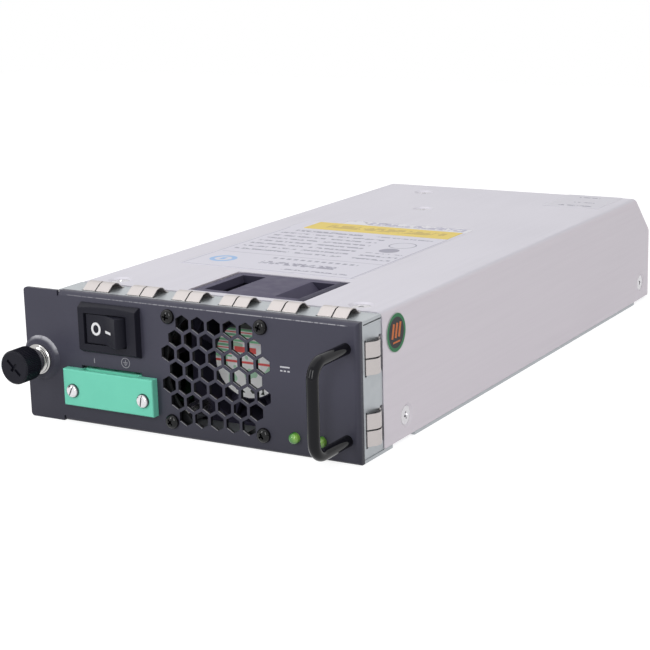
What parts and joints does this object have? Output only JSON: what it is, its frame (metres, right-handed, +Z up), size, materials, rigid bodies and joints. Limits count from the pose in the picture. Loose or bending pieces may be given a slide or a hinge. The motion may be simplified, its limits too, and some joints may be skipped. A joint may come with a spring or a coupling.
{
  "type": "switch power supply",
  "caption": "Slim hot-swap power supply module for a network switch: black panel with hexagon fan grille, rocker switch, terminal plug, pull handle and captive thumbscrew.",
  "frame": {"origin": "centre of the bounding box at the underside of the tray", "axes": "+X to the right seen from the front, +Y from the front panel into the depth, +Z up"},
  "size_m": [0.1196, 0.262, 0.0432],
  "materials": {
    "panel_paint": "satin",
    "galvanised_steel": "satin",
    "cover_steel": "satin",
    "spring_steel": "polished",
    "handle_black": "gloss",
    "switch_plastic": "semi-gloss",
    "plug_green": "satin",
    "screw_black": "semi-gloss",
    "screw_nickel": "satin",
    "ferrule_nickel": "bright",
    "knob_black": "matte",
    "lens_green": "clear",
    "fan_plastic": "matte",
    "label_white": "satin",
    "board_green": "satin",
    "film": "satin",
    "can_sleeve": "semi-gloss",
    "ferrite": "matte",
    "potting": "matte",
    "copper": "satin",
    "heatsink_aluminium": "satin"
  },
  "bodies": {
    "chassis": {"front_panel": "panel_paint", "front_frame": "galvanised_steel", "bottom_tray": "galvanised_steel", "rear_panel": "galvanised_steel", "top_cover": "cover_steel", "top_finger_1": "spring_steel", "top_finger_2": "spring_steel", "top_finger_3": "spring_steel", "top_finger_4": "spring_steel", "top_finger_5": "spring_steel", "top_finger_6": "spring_steel", "left_finger_1": "spring_steel", "left_finger_2": "spring_steel", "right_finger_1": "spring_steel", "right_finger_2": "spring_steel", "pull_handle": "handle_black", "switch_body": "switch_plastic", "terminal_plug": "plug_green", "terminal_header": "plug_green", "fan_screws": "screw_black", "cover_top_screws": "screw_nickel", "cover_side_screws": "screw_nickel", "rear_screws": "screw_nickel", "handle_screws": "screw_nickel", "plug_screws": "screw_nickel", "board_screws": "screw_nickel", "board_standoffs": "screw_nickel", "fan_spacers": "screw_nickel", "thumb_ferrule": "ferrule_nickel", "input_indicator": "lens_green", "output_indicator": "lens_green", "fan_frame": "fan_plastic", "fan_label": "label_white", "main_board": "board_green", "indicator_board": "board_green", "insulating_sheet": "film", "input_capacitors": "can_sleeve", "output_capacitors": "can_sleeve", "transformer_core": "ferrite", "storage_choke": "potting", "power_transistors": "potting", "transformer_winding": "copper", "switch_terminals": "copper", "header_pins": "copper", "edge_contacts": "copper", "primary_heatsink": "heatsink_aluminium", "secondary_heatsink": "heatsink_aluminium", "heat_spreader": "heatsink_aluminium"},
    "rocker": {"switch_rocker": "switch_plastic"},
    "thumb_carrier": {"thumb_spring": "spring_steel"},
    "thumb_screw": {"thumb_knob": "knob_black", "thumb_shank": "ferrule_nickel"},
    "fan_wheel": {"fan_rotor": "fan_plastic"}
  },
  "joints": [
    {"name": "rocker_tilt", "type": "hinge", "parent": "chassis", "child": "rocker", "pos_m": [-0.02763, -0.11102, 0.0309], "axis": [0, 0, 1], "range_deg": [0, 28]},
    {"name": "thumb_push", "type": "slide", "parent": "chassis", "child": "thumb_carrier", "axis": [0, 1, 0], "range_m": [0, 0.0035], "stiffness_N_per_m": 400, "springref_m": -0.006, "deforming": ["thumb_spring"]},
    {"name": "thumb_turn", "type": "hinge", "parent": "thumb_carrier", "child": "thumb_screw", "pos_m": [-0.05432, -0.11102, 0.0192], "axis": [0, 1, 0], "continuous": true},
    {"name": "fan_spin", "type": "hinge", "parent": "chassis", "child": "fan_wheel", "pos_m": [0.01008, -0.07963, 0.021], "axis": [0, 1, 0], "continuous": true}
  ]
}
